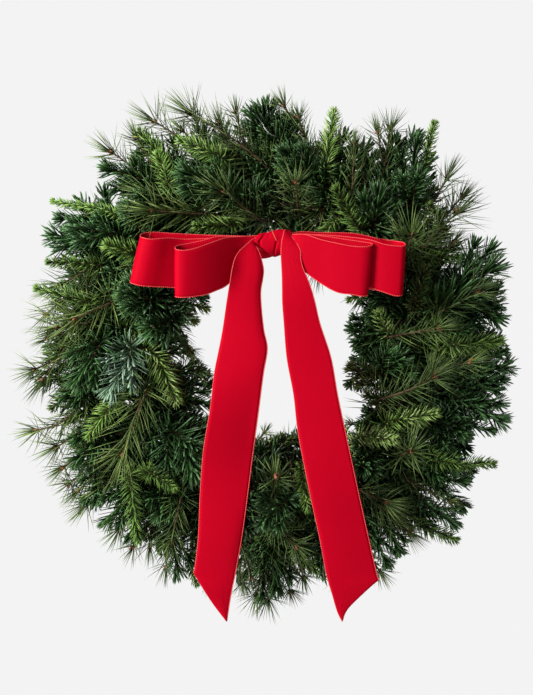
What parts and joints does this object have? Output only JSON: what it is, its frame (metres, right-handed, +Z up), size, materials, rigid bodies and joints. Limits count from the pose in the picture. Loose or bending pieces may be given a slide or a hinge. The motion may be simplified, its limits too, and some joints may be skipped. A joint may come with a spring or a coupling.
{
  "type": "evergreen wreath",
  "caption": "Round hanging wreath of mixed pine, fir and spruce sprays on a wire ring, with a red ribbon bow and two long tails over its open centre.",
  "frame": {"origin": "the nail's place, at the inside top of the hanging loop, in the plane of the wall behind the wreath", "axes": "+Z up, -Y out of the wreath's front, +Y into the wall, +X to the right as seen from the front"},
  "size_m": [0.6132, 0.1576, 0.6674],
  "materials": {
    "pine_foliage": "satin needles on brown twigs",
    "fir_foliage": "satin needles on brown twigs",
    "spruce_foliage": "satin needles on brown twigs",
    "red_ribbon": "fine woven, wired edges",
    "green_wire": "semi-gloss",
    "zinc_wire": "dull zinc"
  },
  "bodies": {
    "root": {"binding_wire": "zinc_wire", "bow_back_loops": "red_ribbon", "bow_front_loops": "red_ribbon", "bow_knot": "red_ribbon", "bow_tail_left": "red_ribbon", "bow_tail_right": "red_ribbon", "bow_tie_wire": "zinc_wire", "fir_01": "fir_foliage", "fir_02": "fir_foliage", "fir_03": "fir_foliage", "fir_04": "fir_foliage", "fir_05": "fir_foliage", "fir_06": "fir_foliage", "fir_07": "fir_foliage", "fir_08": "fir_foliage", "fir_10": "fir_foliage", "fir_11": "fir_foliage", "fir_12": "fir_foliage", "fir_13": "fir_foliage", "fir_14": "fir_foliage", "fir_15": "fir_foliage", "fir_16": "fir_foliage", "hanging_loop": "zinc_wire", "pine_01": "pine_foliage", "pine_02": "pine_foliage", "pine_03": "pine_foliage", "pine_04": "pine_foliage", "pine_05": "pine_foliage", "pine_06": "pine_foliage", "pine_07": "pine_foliage", "pine_08": "pine_foliage", "pine_09": "pine_foliage", "pine_10": "pine_foliage", "pine_11": "pine_foliage", "pine_12": "pine_foliage", "pine_13": "pine_foliage", "pine_14": "pine_foliage", "pine_15": "pine_foliage", "pine_16": "pine_foliage", "spruce_01": "spruce_foliage", "spruce_02": "spruce_foliage", "spruce_03": "spruce_foliage", "spruce_04": "spruce_foliage", "spruce_05": "spruce_foliage", "spruce_06": "spruce_foliage", "spruce_07": "spruce_foliage", "spruce_08": "spruce_foliage", "spruce_09": "spruce_foliage", "spruce_10": "spruce_foliage", "spruce_11": "spruce_foliage", "spruce_12": "spruce_foliage", "spruce_13": "spruce_foliage", "spruce_14": "spruce_foliage", "spruce_15": "spruce_foliage", "spruce_16": "spruce_foliage", "wire_frame": "green_wire"}
  },
  "joints": []
}
